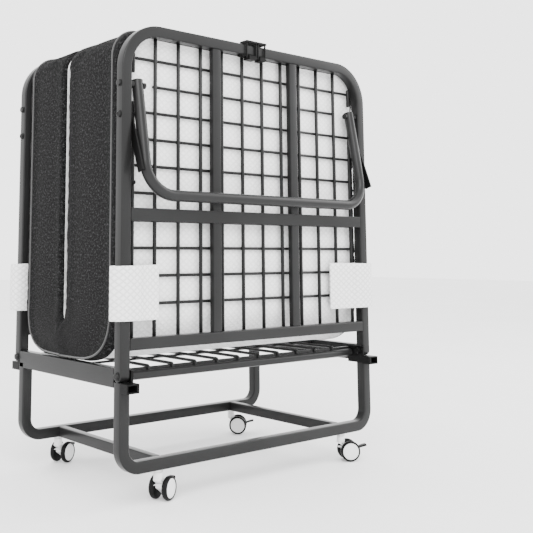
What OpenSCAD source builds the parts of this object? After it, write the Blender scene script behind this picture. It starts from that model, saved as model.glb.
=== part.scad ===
// Folding rollaway bed, shown folded and standing on its castors.
// Millimetres. X across the bed, Y through the folded depth, Z up from the floor.

/* [Bed] */
// Width over the side tubes
bed_w = 790; // [760:10:840]
// Height of the folded top rails above the floor
top_z = 1021; // [1000:1:1060]
// Side of the square frame tube
tube = 25; // [24:0.5:25]
// Wall of the steel tubes
wall = 1.5; // [1.2:0.1:2]
// Outer radius of the bed frame corners
corner_r = 102; // [90:1:110]

/* [Fold] */
// Height of the fold pivots above the floor
pivot_z = 266; // [264:1:270]
// Distance of each fold pivot from the middle of the bed
pivot_y = 220; // [218:1:222]
// Radius of the fold and leg bolts
bolt_r = 4; // [3.5:0.25:4.5]
// Radial running clearance in the pivot holes
run_fit = 0.05; // [0.03:0.01:0.08]

/* [Swing leg] */
// Height of the leg pivots in the folded bed
leg_pivot_z = 883; // [870:1:895]
// Leg length from its pivot to the middle of its foot bar
leg_len = 245; // [240:1:253]
// Lean of the resting leg away from its frame, in degrees
leg_lean = 10; // [9.5:0.5:12]
// Bend radius of the leg at the centre of the tube
leg_bend = 70; // [60:1:75]

/* [Base] */
// Underside of the bottom rails above the floor
rail_z = 66; // [64:1:68]
// Outer radius of the base corners
base_r = 52; // [45:1:60]
// Outer face of the rear base legs
rear_face = 211; // [209:1:211]

/* [Castors] */
// Radius of the castor wheels
wheel_r = 25; // [24:0.5:25]
// Distance of the axle behind the swivel
trail = 20; // [18:1:22]
// Distance of each swivel from the middle of the bed
castor_x = 288; // [280:1:300]
// Heading of the front left castor in degrees
head_fl = 24; // [0:1:359]
// Heading of the front right castor in degrees
head_fr = 328; // [0:1:359]
// Heading of the rear left castor in degrees
head_bl = 25; // [0:1:359]
// Heading of the rear right castor in degrees
head_br = 315; // [0:1:359]

/* [Mattress] */
// Half width of the mattress
matt_x = 385; // [360:1:388]
// Top of the folded mattress
matt_top = 1012; // [990:1:1014]
// Corner radius of the mattress ends
matt_r = 60; // [40:1:90]
// Gap between the folded halves
matt_gap = 20; // [16:1:24]
// Distance of the gap from the middle, towards the back (mm)
fold_y = 23; // [0:1:28]

/* [Hidden] */
$fn = 64;
hw = bed_w / 2;
in_x = hw - tube;
ht = tube / 2;
bore_r = bolt_r + run_fit;
out_y = pivot_y + ht;
low_z = 317;
mid_z = 587;
mid_h = 28;
stile_x = 127;
stile_d = 15;
rod = 7;
up_rod = 9;
rod_y = pivot_y - ht;
rod_gap = 65.3;
row_gap = 59.5;
row_z = 411;
leg_r = 12.5;
leg_x = in_x - 22;
brace_z = 815;
brace_tilt = 19.5;
seat_z = pivot_z - ht - 0.3;
deck_z = 281;
front_leg_y = pivot_y - ht - 0.5;
axle_z = wheel_r;
fork_top = 60;
bail_y = pivot_y + 16;
bail_z = 988;
yf = -front_leg_y - ht;
yb = rear_face - ht;

// A rod along X between two X values
module xrod(r, x0, x1, y, z) {
    translate([x0, y, z]) rotate([0, 90, 0]) cylinder(r = r, h = x1 - x0);
}

// Mirrors across the bed, or through its depth, when asked
module flip_x(yes) {
    mirror([yes ? 1 : 0, 0, 0]) children();
}

module flip_y(yes) {
    mirror([0, yes ? 1 : 0, 0]) children();
}

// A box from its two corners
module block(a, b) {
    translate(a) cube([b[0] - a[0], b[1] - a[1], b[2] - a[2]]);
}

// Stands a 2D XZ outline up as a plate from y0 towards -Y
module plate_y(y0, thick) {
    translate([0, y0, 0]) rotate([90, 0, 0]) linear_extrude(thick) children();
}

// Stands a 2D YZ outline up as a plate from x0 towards +X
module plate_x(x0, thick) {
    translate([x0, 0, 0]) rotate([90, 0, 90]) linear_extrude(thick) children();
}

// Arch outline with two round top corners
module arch2d(half_w, low, high, r) {
    translate([-half_w, low]) square([2 * half_w, high - r - low]);
    translate([r - half_w, low]) square([2 * (half_w - r), high - low]);
    translate([half_w - r, high - r]) circle(r = r, $fn = 96);
    translate([r - half_w, high - r]) circle(r = r, $fn = 96);
}

// Trough outline with two round bottom corners
module trough2d(half_w, low, high, r) {
    translate([-half_w, low + r]) square([2 * half_w, high - r - low]);
    translate([r - half_w, low]) square([2 * (half_w - r), high - low]);
    translate([half_w - r, low + r]) circle(r = r, $fn = 96);
    translate([r - half_w, low + r]) circle(r = r, $fn = 96);
}

// ---- Front half, all modules drawn for the front (-Y) side ----

module half_frame() {
    difference() {
        union() {
            plate_y(ht - pivot_y, tube) difference() {
                arch2d(hw, pivot_z, top_z, corner_r);
                translate([0, -1]) arch2d(in_x, pivot_z, top_z - tube + 1, corner_r - tube);
            }
            xrod(ht, -hw, -in_x, -pivot_y, pivot_z);
            xrod(ht, in_x, hw, -pivot_y, pivot_z);
        }
        plate_y(ht - wall - pivot_y, tube - 2 * wall) difference() {
            arch2d(hw - wall, pivot_z + 16, top_z - wall, corner_r - wall);
            arch2d(in_x + wall, pivot_z, top_z - tube + wall, corner_r - tube + wall);
        }
        xrod(bore_r, -hw - 1, hw + 1, -pivot_y, pivot_z);
        xrod(bore_r, -hw - 1, hw + 1, -pivot_y, leg_pivot_z);
        xrod(bore_r, -hw - 1, hw + 1, -pivot_y, brace_z);
    }
}

module half_stile(side) {
    x = side * stile_x - ht;
    y1 = 3 - out_y + stile_d;
    difference() {
        block([x, 3 - out_y, low_z + tube], [x + tube, y1, top_z - tube]);
        block([x + wall, 3 - out_y + wall, low_z + tube - 1],
            [x + tube - wall, y1 - wall, top_z - tube + 1]);
    }
}

module half_crossbar_mid() {
    block([-in_x, -out_y, mid_z], [in_x, 3 - out_y, mid_z + mid_h]);
}

module half_crossbar_low() {
    difference() {
        block([-in_x, -out_y, low_z], [in_x, tube - out_y, low_z + tube]);
        block([-in_x - 1, wall - out_y, low_z + wall],
            [in_x + 1, tube - wall - out_y, low_z + tube - wall]);
    }
}

module grid2d() {
    last = 5.42 * rod_gap;
    for (k = [0.5 : 1 : 4.5]) {
        for (s = [-1, 1]) {
            translate([s * k * rod_gap - up_rod / 2, low_z + tube])
                square([up_rod, top_z - low_z - 2 * tube]);
        }
    }
    for (s = [-1, 1]) {
        translate([s * last - up_rod / 2, low_z + tube]) square([up_rod, 490]);
        translate([s * last - up_rod / 2, leg_pivot_z + 29]) square([up_rod, 46]);
    }
    for (k = [0 : 9]) {
        half = ((k == 8) ? 4.5 * rod_gap : last) + up_rod / 2;
        translate([-half, row_z + k * row_gap - rod / 2]) square([2 * half, rod]);
    }
}

module half_grid() {
    plate_y(-rod_y, rod) grid2d();
}

module half_stop(side) {
    x0 = (side < 0) ? 0.1 - in_x : in_x - 4.1;
    difference() {
        union() {
            translate([0, -pivot_y, brace_z]) rotate([-brace_tilt, 0, 0])
                block([x0, -9, -132], [x0 + 4, 9, 0]);
            xrod(10, x0, x0 + 4, -pivot_y, brace_z);
        }
        xrod(bore_r, x0 - 1, x0 + 5, -pivot_y, brace_z);
    }
}

module half_bolts() {
    for (s = [-1, 1]) {
        flip_x(s > 0) {
            translate([-hw, -pivot_y, leg_pivot_z]) rotate([0, -90, 0]) cylinder(r = 7, h = 5);
            xrod(bolt_r, -hw, -leg_x + leg_r + 7, -pivot_y, leg_pivot_z);
            xrod(8, -in_x, -leg_x - leg_r - 0.3, -pivot_y, leg_pivot_z);
            xrod(7, -leg_x + leg_r + 0.3, -leg_x + leg_r + 7, -pivot_y, leg_pivot_z);
            translate([-hw, -pivot_y, brace_z]) rotate([0, -90, 0]) cylinder(r = 7, h = 4);
            xrod(bolt_r, -hw, -in_x + 10, -pivot_y, brace_z);
            xrod(7, -in_x + 4.1, -in_x + 10, -pivot_y, brace_z);
        }
    }
}

// Round-tube leg: two arms joined by a foot bar with bent corners
module half_leg() {
    bar = leg_x - leg_bend;
    translate([0, -pivot_y, leg_pivot_z]) rotate([-leg_lean, 0, 0]) {
        difference() {
            union() {
                for (s = [-1, 1]) {
                    translate([s * leg_x, 0, leg_bend - leg_len])
                        cylinder(r = leg_r, h = leg_len - leg_bend + 11);
                    leg_corner(s, leg_r);
                }
                xrod(leg_r, -bar, bar, 0, -leg_len);
            }
            for (s = [-1, 1]) {
                translate([s * leg_x, 0, leg_bend - leg_len])
                    cylinder(r = leg_r - wall, h = leg_len - leg_bend + 12);
                leg_corner(s, leg_r - wall);
            }
            xrod(leg_r - wall, -bar, bar, 0, -leg_len);
            xrod(bore_r, -hw, hw, 0, 0);
        }
    }
}

module leg_corner(s, r) {
    bar = leg_x - leg_bend;
    translate([s * bar, 0, leg_bend - leg_len]) rotate([90, 0, 0])
        rotate([0, 0, (s > 0) ? -90 : 180])
        rotate_extrude(angle = 90) translate([leg_bend, 0]) circle(r = r);
}

// Fabric corner band: over the outside of the tube and onto the springs
module half_strap(side) {
    low = 377;
    high = 494;
    back = 0.5 - pivot_y + ht;
    flip_x(side < 0) translate([0, 0, low]) linear_extrude(high - low) polygon([
        [hw - 92, -rod_y - rod - 1], [hw - 40, -out_y - 1], [hw + 3, -out_y - 1],
        [hw + 9, 8 - out_y], [hw + 9, 17 - out_y], [hw + 2, back],
        [in_x - 5, back], [in_x - 5, back + 3], [hw + 4, back + 3],
        [hw + 13, 19 - out_y], [hw + 13, 7 - out_y], [hw + 5, -out_y - 4.5],
        [hw - 41, -out_y - 4.5], [hw - 92, -rod_y - rod - 5]]);
}

module half_bumpers() {
    xrod(4.5, -in_x, 16 - in_x, -pivot_y, 670);
    xrod(4.5, in_x - 16, in_x, -pivot_y, 670);
}

// Mattress halves are plain closed slabs, hollow so that they weigh what foam does
module matt_half(inner) {
    skin = 8;
    deep = 202.5 + inner;
    difference() {
        plate_y(inner, deep) arch2d(matt_x, 345, matt_top, matt_r);
        plate_y(inner - skin, deep - 2 * skin)
            arch2d(matt_x - skin, 345 + skin, matt_top - skin, matt_r - skin);
    }
}

// ---- Base ----

module base_frame(y0, bolt_y) {
    difference() {
        plate_y(y0 + tube, tube) difference() {
            trough2d(hw, rail_z, seat_z, base_r);
            trough2d(in_x, rail_z + tube, seat_z + 1, base_r - tube);
        }
        plate_y(y0 + tube - wall, tube - 2 * wall) difference() {
            trough2d(hw - wall, rail_z + wall, seat_z - 3, base_r - wall);
            trough2d(in_x + wall, rail_z + tube - wall, seat_z + 1, base_r - tube + wall);
        }
        for (s = [-1, 1]) {
            translate([s * castor_x, bolt_y, rail_z - 1]) cylinder(r = 5.02, h = 10);
        }
    }
}

module base_bar(side) {
    x0 = (side < 0) ? -293 : 273;
    y0 = -front_leg_y;
    y1 = rear_face - tube;
    difference() {
        block([x0, y0, rail_z], [x0 + 20, y1, rail_z + tube]);
        block([x0 + wall, y0 - 1, rail_z + wall], [x0 + 20 - wall, y1 + 1, rail_z + tube - wall]);
    }
}

module center_rail(side) {
    x0 = (side < 0) ? -hw : in_x;
    yf = -front_leg_y;
    yb = front_leg_y;
    difference() {
        block([x0, yf, 241], [x0 + tube, yb, deck_z]);
        block([x0 + wall, yf - 1, 241 + wall], [x0 + tube - wall, yb + 1, deck_z - wall]);
        block([x0 - 1, rear_face - tube, 240], [x0 + tube + 1, yb + 1, seat_z + 0.01]);
    }
}

module center_tube(y) {
    end = in_x - 6.3;
    difference() {
        xrod(10, -end, end, y, 260);
        xrod(8.8, -end - 1, end + 1, y, 260);
    }
}

module center_wires() {
    reach = 186;
    translate([0, 0, deck_z - 5]) linear_extrude(5) {
        for (k = [0.5 : 1 : 4.5]) {
            for (s = [-1, 1]) {
                translate([s * k * rod_gap - 2.5, -reach]) square([5, 2 * reach]);
            }
        }
        for (s = [-1, 1]) {
            translate([-in_x, s * 48 - 2.5]) square([2 * in_x, 5]);
        }
    }
    for (s = [-1, 1]) {
        block([-in_x + 8, s * 186 - 3, 270.5], [in_x - 8, s * 186 + 3, deck_z - 5]);
    }
}

// Cheek plate beside the pivot, and the open channel the unfolded frame rests on
module bracket(left, front, leg_face, reach) {
    flip_x(left) flip_y(front) difference() {
        union() {
            block([in_x - 6, 184, 236], [in_x - 0.3, reach, seat_z]);
            block([in_x - 6, 184, 236], [in_x - 0.3, pivot_y + 15, 278]);
            block([in_x - 6, leg_face, 234], [hw, reach, seat_z]);
        }
        block([in_x - 0.3, leg_face + 3, 237], [hw - 3, reach + 1, seat_z - 3]);
        xrod(bolt_r, in_x - 10, in_x + 1, pivot_y, pivot_z);
    }
}

module hinge_bolts() {
    for (sx = [-1, 1]) {
        for (sy = [-1, 1]) {
            flip_x(sx < 0) {
                xrod(7, hw + 0.3, hw + 5, sy * pivot_y, pivot_z);
                xrod(bolt_r, in_x - 14, hw + 0.3, sy * pivot_y, pivot_z);
                xrod(7, in_x - 14, in_x - 6, sy * pivot_y, pivot_z);
            }
        }
    }
}

// ---- Castors ----

module at_castor(sx, y, heading) {
    translate([sx * castor_x, y, 0]) rotate([0, 0, heading]) children();
}

module stems() {
    for (sx = [-1, 1]) {
        for (y = [yf, yb]) {
            translate([sx * castor_x, y, 0]) {
                translate([0, 0, 50]) cylinder(r = 5, h = 34);
                translate([0, 0, 61]) cylinder(r = 10, h = rail_z - 61);
            }
        }
    }
}

module castor_body() {
    difference() {
        union() {
            translate([trail, 8, axle_z]) rotate([90, 0, 0]) cylinder(r = 19, h = 16);
            block([-8, -8, 30], [trail, 8, 50]);
            translate([0, 0, 49.5]) cylinder(r = 9.5, h = fork_top - 49.5);
        }
        translate([0, 0, 48]) cylinder(r = 5 + run_fit, h = 20);
        translate([trail, 9, axle_z]) rotate([90, 0, 0]) cylinder(r = 3 + run_fit, h = 18);
        block([trail + 6, -3.2, axle_z - 12], [trail + 20, 3.2, axle_z + 20]);
        translate([trail + 12, 9, axle_z + 3]) rotate([90, 0, 0])
            cylinder(r = 2 + run_fit, h = 18);
    }
}

module castor_wheels() {
    w = 14;
    translate([trail, 0, axle_z]) rotate([-90, 0, 0]) {
        translate([0, 0, -12]) cylinder(r = 3, h = 24);
        for (s = [-1, 1]) {
            mirror([0, 0, (s < 0) ? 1 : 0]) translate([0, 0, 8.6]) rotate_extrude() polygon([[0, 0],
                [22, 0], [wheel_r, 2.5], [wheel_r, w - 4], [wheel_r - 2, w - 1],
                [20.5, w], [20.5, w - 1.5], [0, w - 1.5]]);
        }
    }
}

module castor_brake() {
    translate([trail + 12, 0, axle_z + 3]) {
        rotate([90, 0, 0]) translate([0, 0, -7.5]) cylinder(r = 2, h = 15);
        rotate([90, 0, 0]) translate([0, 0, -2.9]) cylinder(r = 4.5, h = 5.8);
        block([0, -2.9, -3], [14, 2.9, 3]);
        rotate([0, -14, 0]) block([14, -9, -2], [33, 9, 2.5]);
    }
}

// ---- Latch on the front top rail ----

module latch_bracket() {
    difference() {
        union() {
            block([-50, -out_y + 1.5, 991], [26, 17.4 - out_y, top_z - tube]);
            block([-34, -bail_y - 5, 983], [-12, -out_y + 12, 993]);
            block([1.5, -bail_y - 5, 983], [18, -out_y + 12, 993]);
        }
        xrod(2.5 + run_fit, -60, 40, -bail_y, bail_z);
    }
}

module bail(x0, x1, hook) {
    top = top_z + 4;
    xrod(2.5, x0 - 3, x1 + 3, -bail_y, bail_z);
    for (x = [x0, x1]) {
        translate([x, -bail_y, bail_z]) cylinder(r = 2.2, h = top - bail_z + 3);
    }
    block([x0 - hook, -bail_y - 3.5, top], [x1 + hook, -bail_y + 22, top + 5]);
}

module latch_hook() {
    bail(-38, -8, 2.5);
}

module latch_loop() {
    difference() {
        bail(-1, 22, 2.7);
        block([3, -bail_y + 3, top_z], [18, -bail_y + 18, top_z + 12]);
    }
}

module to_back() {
    mirror([0, 1, 0]) children();
}

// ---- Named pieces ----

module base_frame_front() { color("dimgray") base_frame(-front_leg_y - tube, -front_leg_y - ht); }
module base_frame_back() { color("dimgray") base_frame(rear_face - tube, rear_face - ht); }
module base_bar_left() { color("gray") base_bar(-1); }
module base_bar_right() { color("gray") base_bar(1); }
module center_rail_left() { color("slategray") center_rail(-1); }
module center_rail_right() { color("slategray") center_rail(1); }
module center_tube_front() { color("gray") center_tube(-190); }
module center_tube_back() { color("gray") center_tube(190); }
module center_wires_node() { color("black") center_wires(); }
module hinge_bracket_fl() { color("black") bracket(true, true, front_leg_y + tube, 257); }
module hinge_bracket_fr() { color("black") bracket(false, true, front_leg_y + tube, 257); }
module hinge_bracket_bl() { color("black") bracket(true, false, rear_face, 246); }
module hinge_bracket_br() { color("black") bracket(false, false, rear_face, 246); }
module hinge_bolts_node() { color("silver") hinge_bolts(); }
module caster_stems() { color("silver") stems(); }

module mattress_fold() {
    color("white") plate_x(-matt_x, 2 * matt_x) polygon([[-120, deck_z + 0.5],
        [150, deck_z + 0.5], [196, 340], [-190, 340]]);
}

module caster_fl_body() { color("silver") at_castor(-1, yf, head_fl) castor_body(); }
module caster_fl_wheels() { color("black") at_castor(-1, yf, head_fl) castor_wheels(); }
module caster_fl_brake() { color("red") at_castor(-1, yf, head_fl) castor_brake(); }
module caster_fr_body() { color("silver") at_castor(1, yf, head_fr) castor_body(); }
module caster_fr_wheels() { color("black") at_castor(1, yf, head_fr) castor_wheels(); }
module caster_fr_brake() { color("red") at_castor(1, yf, head_fr) castor_brake(); }
module caster_bl_body() { color("silver") at_castor(-1, yb, head_bl) castor_body(); }
module caster_bl_wheels() { color("black") at_castor(-1, yb, head_bl) castor_wheels(); }
module caster_bl_brake() { color("red") at_castor(-1, yb, head_bl) castor_brake(); }
module caster_br_body() { color("silver") at_castor(1, yb, head_br) castor_body(); }
module caster_br_wheels() { color("black") at_castor(1, yb, head_br) castor_wheels(); }
module caster_br_brake() { color("red") at_castor(1, yb, head_br) castor_brake(); }

module front_frame() { color("gray") half_frame(); }
module front_stile_left() { color("darkgray") half_stile(-1); }
module front_stile_right() { color("darkgray") half_stile(1); }
module front_crossbar_mid() { color("lightslategray") half_crossbar_mid(); }
module front_crossbar_low() { color("lightslategray") half_crossbar_low(); }
module front_wire_grid() { color("black") half_grid(); }
module front_leg_stop_left() { color("black") half_stop(-1); }
module front_leg_stop_right() { color("black") half_stop(1); }
module front_bolts() { color("silver") half_bolts(); }
module front_strap_left() { color("ivory") half_strap(-1); }
module front_strap_right() { color("ivory") half_strap(1); }
module mattress_front() { color("white") matt_half(fold_y - matt_gap / 2); }
module front_bumpers() { color("black") half_bumpers(); }
module latch_bracket_node() { color("black") latch_bracket(); }
module latch_hook_node() { color("black") latch_hook(); }
module latch_loop_node() { color("black") latch_loop(); }
module front_leg() { color("steelblue") half_leg(); }

module back_frame() { color("gray") to_back() half_frame(); }
module back_stile_left() { color("darkgray") to_back() half_stile(-1); }
module back_stile_right() { color("darkgray") to_back() half_stile(1); }
module back_crossbar_mid() { color("lightslategray") to_back() half_crossbar_mid(); }
module back_crossbar_low() { color("lightslategray") to_back() half_crossbar_low(); }
module back_wire_grid() { color("black") to_back() half_grid(); }
module back_leg_stop_left() { color("black") to_back() half_stop(-1); }
module back_leg_stop_right() { color("black") to_back() half_stop(1); }
module back_bolts() { color("silver") to_back() half_bolts(); }
module back_strap_left() { color("ivory") to_back() half_strap(-1); }
module back_strap_right() { color("ivory") to_back() half_strap(1); }
module mattress_back() { color("white") to_back() matt_half(-fold_y - matt_gap / 2); }
module back_bumpers() { color("black") to_back() half_bumpers(); }
module back_leg() { color("steelblue") to_back() half_leg(); }

base_frame_front();
base_frame_back();
base_bar_left();
base_bar_right();
center_rail_left();
center_rail_right();
center_tube_front();
center_tube_back();
center_wires_node();  // center_wires
hinge_bracket_fl();
hinge_bracket_fr();
hinge_bracket_bl();
hinge_bracket_br();
hinge_bolts_node();  // hinge_bolts
caster_stems();
mattress_fold();
caster_fl_body();
caster_fl_wheels();
caster_fl_brake();
caster_fr_body();
caster_fr_wheels();
caster_fr_brake();
caster_bl_body();
caster_bl_wheels();
caster_bl_brake();
caster_br_body();
caster_br_wheels();
caster_br_brake();
front_frame();
front_stile_left();
front_stile_right();
front_crossbar_mid();
front_crossbar_low();
front_wire_grid();
front_leg_stop_left();
front_leg_stop_right();
front_bolts();
front_strap_left();
front_strap_right();
mattress_front();
front_bumpers();
latch_bracket_node();  // latch_bracket
latch_hook_node();  // latch_hook
latch_loop_node();  // latch_loop
front_leg();
back_frame();
back_stile_left();
back_stile_right();
back_crossbar_mid();
back_crossbar_low();
back_wire_grid();
back_leg_stop_left();
back_leg_stop_right();
back_bolts();
back_strap_left();
back_strap_right();
mattress_back();
back_bumpers();
back_leg();
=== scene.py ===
"""Looks for the folding rollaway bed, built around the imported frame. Metres, +Z up."""

import math

import bpy
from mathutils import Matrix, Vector


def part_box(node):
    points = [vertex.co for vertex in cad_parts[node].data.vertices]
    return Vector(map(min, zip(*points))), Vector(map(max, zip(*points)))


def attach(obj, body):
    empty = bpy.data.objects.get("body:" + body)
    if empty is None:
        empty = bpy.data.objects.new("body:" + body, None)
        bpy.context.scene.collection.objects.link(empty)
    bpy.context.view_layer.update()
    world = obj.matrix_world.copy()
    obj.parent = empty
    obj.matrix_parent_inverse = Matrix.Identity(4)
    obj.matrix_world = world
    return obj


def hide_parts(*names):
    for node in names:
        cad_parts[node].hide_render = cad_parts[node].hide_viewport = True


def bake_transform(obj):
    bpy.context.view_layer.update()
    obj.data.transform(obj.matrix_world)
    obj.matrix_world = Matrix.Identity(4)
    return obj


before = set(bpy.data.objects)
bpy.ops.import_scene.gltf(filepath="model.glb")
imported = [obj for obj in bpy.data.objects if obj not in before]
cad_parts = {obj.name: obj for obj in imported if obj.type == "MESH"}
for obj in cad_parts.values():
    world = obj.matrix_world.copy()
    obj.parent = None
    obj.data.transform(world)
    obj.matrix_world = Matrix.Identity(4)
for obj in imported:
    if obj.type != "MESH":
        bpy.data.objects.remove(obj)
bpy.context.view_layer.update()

HALVES = ((-1, "front"), (1, "back"))
HANDS = ((-1, "left"), (1, "right"))
LOW, HIGH = 0, 1
X, Y, Z = 0, 1, 2
DEPTHWISE = (0, 1, 0)
UPWARD = (0, 0, 1)


def side_of(node, corner, axis):
    """One side of a CAD node's box at rest, to 0.1 mm."""
    return round(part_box(node)[corner][axis], 4)


# Sizes read from the frame
HALF_W = side_of("front_frame", HIGH, X)
TOP_Z = side_of("front_frame", HIGH, Z)
OUT_Y = side_of("back_frame", HIGH, Y)
IN_X = side_of("front_crossbar_low", HIGH, X)
LOW_Z = side_of("front_crossbar_low", LOW, Z)
MID_Z = side_of("front_crossbar_mid", LOW, Z)
RAIL_Z = side_of("base_frame_front", LOW, Z)
SEAT_Z = side_of("base_frame_front", HIGH, Z)
DECK_Z = side_of("center_wires", HIGH, Z)
DECK_RAIL_LOW = side_of("center_rail_right", LOW, Z)
TUBE = round(HALF_W - IN_X, 4)
MID_H = round(side_of("front_crossbar_mid", HIGH, Z) - MID_Z, 4)
PIVOT_Y = round(OUT_Y - TUBE / 2, 4)
STILE_X = round(side_of("front_stile_right", LOW, X) + TUBE / 2, 4)
STILE_DEPTH = round(side_of("back_stile_left", HIGH, Y) - side_of("back_stile_left", LOW, Y), 4)
FLAT_THICK = round(OUT_Y - side_of("back_crossbar_mid", LOW, Y), 4)
FRONT_LEG_Y = round(side_of("base_frame_front", LOW, Y) + TUBE / 2, 4)
BACK_LEG_Y = round(side_of("base_frame_back", HIGH, Y) - TUBE / 2, 4)
SIDE_BAR_LOW = side_of("base_bar_right", LOW, X)
SIDE_BAR_HIGH = side_of("base_bar_right", HIGH, X)

# Sizes that the nodes' boxes don't give
PIVOT_Z = 0.266
LEG_PIVOT_Z = 0.883
BRACE_Z = 0.815
CORNER_R = 0.102
BASE_R = 0.052
TUBE_EDGE = 0.0032
ROD_GAP = 0.0653
ROW_GAP = 0.0595
ROW_Z = 0.411

# Camera at the photo's viewpoint
CAMERA_PLACE = (-1.3876, -1.6964, 0.5169)
CAMERA_TILT = 96.84
CAMERA_HEADING = -38.402
CAMERA_LENS = 56.74
CAMERA_SHIFT = (0.1540, -0.2124)
SKY_STRENGTH = 3.3


# ---------------------------------------------------------------- camera and light

def add_camera():
    data = bpy.data.cameras.new("view")
    data.sensor_width = 36.0
    data.lens = CAMERA_LENS
    data.shift_x, data.shift_y = CAMERA_SHIFT
    cam = bpy.data.objects.new("view", data)
    cam.location = CAMERA_PLACE
    cam.rotation_euler = (math.radians(CAMERA_TILT), 0.0, math.radians(CAMERA_HEADING))
    bpy.context.scene.collection.objects.link(cam)
    bpy.context.scene.camera = cam


def area_light(name, place, target, size, watts):
    data = bpy.data.lights.new(name, "AREA")
    data.shape = "RECTANGLE"
    data.size = size[0]
    data.size_y = size[1]
    data.energy = watts
    lamp = bpy.data.objects.new(name, data)
    lamp.location = place
    aim = Vector(target) - Vector(place)
    lamp.rotation_euler = aim.to_track_quat("-Z", "Y").to_euler()
    bpy.context.scene.collection.objects.link(lamp)


def add_world():
    world = bpy.data.worlds.new("studio")
    world.use_nodes = True
    sky = world.node_tree.nodes["Background"]
    sky.inputs["Color"].default_value = (1.0, 1.0, 1.0, 1.0)
    sky.inputs["Strength"].default_value = SKY_STRENGTH
    bpy.context.scene.world = world


# ---------------------------------------------------------------- shape building

class Shape:
    """Collects vertices, faces and material slots for one mesh."""

    def __init__(self):
        self.verts = []
        self.faces = []
        self.slots = []

    def add(self, verts, faces, slot=0):
        first = len(self.verts)
        self.verts += [tuple(v) for v in verts]
        self.faces += [tuple(i + first for i in f) for f in faces]
        self.slots += [slot] * len(faces)

    def build(self, name, materials, crease=40.0):
        mesh = bpy.data.meshes.new(name)
        mesh.from_pydata(self.verts, [], self.faces)
        for material in materials:
            mesh.materials.append(material)
        mesh.polygons.foreach_set("material_index", self.slots)
        mesh.polygons.foreach_set("use_smooth", [True] * len(mesh.polygons))
        mesh.update()
        mesh.set_sharp_from_angle(angle=math.radians(crease))
        obj = bpy.data.objects.new(name, mesh)
        bpy.context.scene.collection.objects.link(obj)
        return obj


def square_profile(width, depth, radius, steps=4):
    """Points round a rectangle with rounded corners."""
    points = []
    for corner in range(4):
        sx = 1 if corner in (0, 3) else -1
        sy = 1 if corner in (0, 1) else -1
        for k in range(steps + 1):
            a = math.radians(90 * corner + 90 * k / steps)
            x = sx * (width / 2 - radius) + radius * math.cos(a)
            y = sy * (depth / 2 - radius) + radius * math.sin(a)
            points.append((x, y))
    return points


def round_profile(radius, count=20):
    turn = 2 * math.pi / count
    return [(radius * math.cos(turn * k), radius * math.sin(turn * k)) for k in range(count)]


def bent_path(points, radius, steps=14):
    """A polyline whose inner corners become arcs."""
    path = [Vector(points[0])]
    for i in range(1, len(points) - 1):
        here = Vector(points[i])
        into = (here - Vector(points[i - 1])).normalized()
        away = (Vector(points[i + 1]) - here).normalized()
        turn = into.angle(away)
        if turn < 1e-4:
            path.append(here)
            continue
        cut = radius * math.tan(turn / 2)
        start = here - into * cut
        inward = (away - into * into.dot(away)).normalized()
        centre = start + inward * radius
        for k in range(steps + 1):
            a = turn * k / steps
            path.append(centre - inward * radius * math.cos(a) + into * radius * math.sin(a))
    path.append(Vector(points[-1]))
    return path


def sweep(shape, path, profile, side, scales=None):
    """Runs a profile along a path and closes both ends. The profile's second axis follows side."""
    keep = Vector(side).normalized()
    count = len(profile)
    rings = len(path)
    verts = []
    for i, point in enumerate(path):
        before = path[max(i - 1, 0)]
        after = path[min(i + 1, rings - 1)]
        along = (Vector(after) - Vector(before)).normalized()
        across = along.cross(keep).normalized()
        up = across.cross(along).normalized()
        grow = scales[i] if scales else (1.0, 1.0)
        for a, b in profile:
            verts.append(Vector(point) + across * a * grow[0] + up * b * grow[1])
    faces = []
    for i in range(rings - 1):
        for k in range(count):
            m = (k + 1) % count
            faces.append((i * count + m, (i + 1) * count + m, (i + 1) * count + k, i * count + k))
    faces.append(tuple(range(count)))
    faces.append(tuple(reversed(range((rings - 1) * count, rings * count))))
    shape.add(verts, faces)


def eased_path(start, end, ease):
    """A straight path with an extra ring close to each end, for eased ends."""
    a = Vector(start)
    b = Vector(end)
    step = (b - a).normalized() * ease
    return [a, a + step, b - step, b]


def rod(shape, start, end, radius, count=14):
    """A round bar with small eased ends."""
    nose = (0.72, 0.72)
    path = eased_path(start, end, radius * 0.35)
    sweep(shape, path, round_profile(radius, count), DEPTHWISE, [nose, (1, 1), (1, 1), nose])


def bar(shape, start, end, width, depth, radius, side):
    """A straight bar of rounded-square section; depth is measured along side."""
    ease = 0.0008
    nose = (1 - 2 * ease / width, 1 - 2 * ease / depth)
    path = eased_path(start, end, ease)
    sweep(shape, path, square_profile(width, depth, radius), side, [nose, (1, 1), (1, 1), nose])


def lathe(shape, outline, origin, axis, count=40, slot=0):
    """Spins (radius, height) points about an axis through origin."""
    up = Vector(axis).normalized()
    seed = Vector((1, 0, 0)) if abs(up.x) < 0.8 else Vector((0, 0, 1))
    e1 = up.cross(seed).normalized()
    e2 = up.cross(e1)
    verts = []
    for r, h in outline:
        for k in range(count):
            a = 2 * math.pi * k / count
            verts.append(Vector(origin) + up * h + e1 * r * math.cos(a) + e2 * r * math.sin(a))
    faces = []
    for i in range(len(outline) - 1):
        for k in range(count):
            m = (k + 1) % count
            faces.append((i * count + k, i * count + m, (i + 1) * count + m, (i + 1) * count + k))
    if outline[0][0] > 1e-6:
        faces.append(tuple(reversed(range(count))))
    if outline[-1][0] > 1e-6:
        faces.append(tuple((len(outline) - 1) * count + k for k in range(count)))
    shape.add(verts, faces, slot)


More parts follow.
